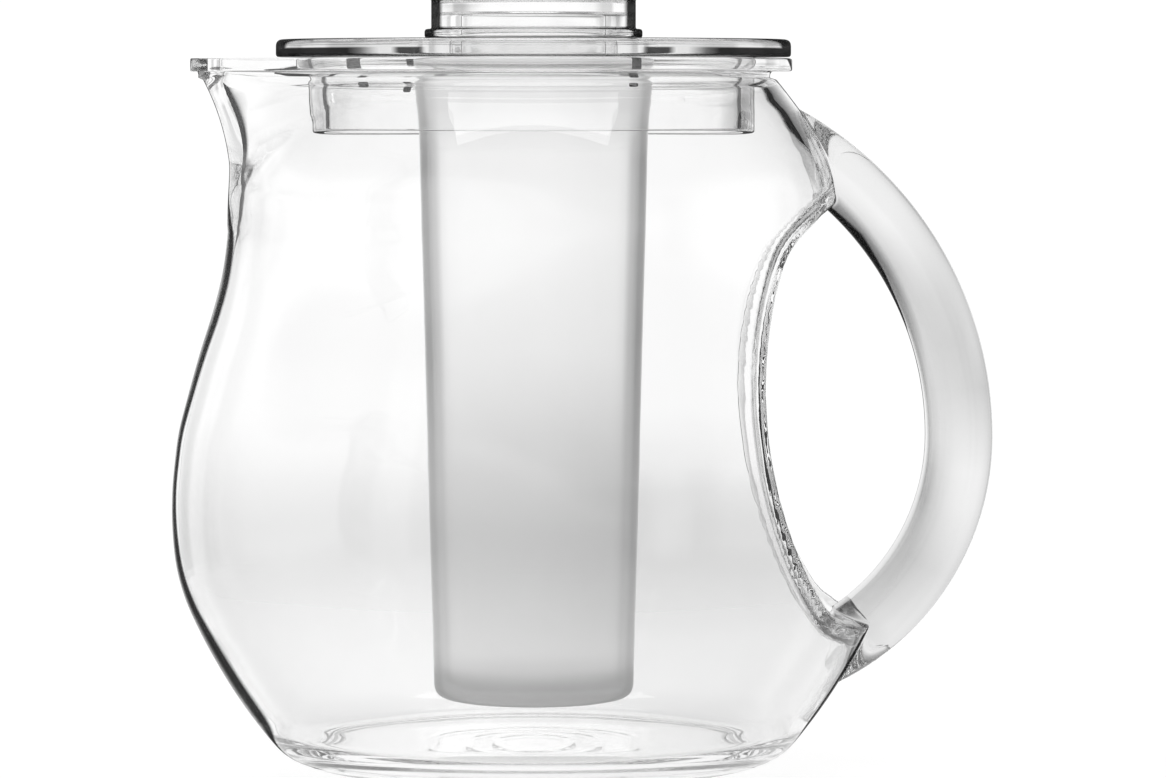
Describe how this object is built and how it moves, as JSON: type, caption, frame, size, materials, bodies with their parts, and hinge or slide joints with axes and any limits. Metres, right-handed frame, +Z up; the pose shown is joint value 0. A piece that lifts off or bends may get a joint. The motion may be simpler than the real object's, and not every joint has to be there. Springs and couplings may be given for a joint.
{
  "type": "drinks pitcher with ice core",
  "caption": "Clear pitcher with a pouring lip, a scooped grip side, a cemented handle and a lid that carries a frosted ice core under a plug-in cap.",
  "frame": {"origin": "on the body's axis, in the plane that the foot ring stands on", "axes": "+Z up along the body's axis, -X towards the pouring lip, +X towards the handle"},
  "size_m": [0.196, 0.173, 0.1843],
  "materials": {
    "clear_body": "gloss",
    "clear_handle": "gloss",
    "clear_lid": "gloss",
    "frosted_core": "satin",
    "clear_cap": "gloss"
  },
  "bodies": {
    "jug": {"jug_body": "clear_body", "handle": "clear_handle"},
    "lid": {"lid": "clear_lid"},
    "core": {"ice_core": "frosted_core"},
    "cap": {"core_cap": "clear_cap"}
  },
  "joints": [
    {"name": "lid_lift", "type": "slide", "parent": "jug", "child": "lid", "axis": [0, 0, 1], "range_m": [0, 0.17]},
    {"name": "core_drop", "type": "slide", "parent": "lid", "child": "core", "axis": [0, 0, -1], "range_m": [0, 0.0102]},
    {"name": "cap_lift", "type": "slide", "parent": "lid", "child": "cap", "axis": [0, 0, 1], "range_m": [0, 0.02]}
  ]
}
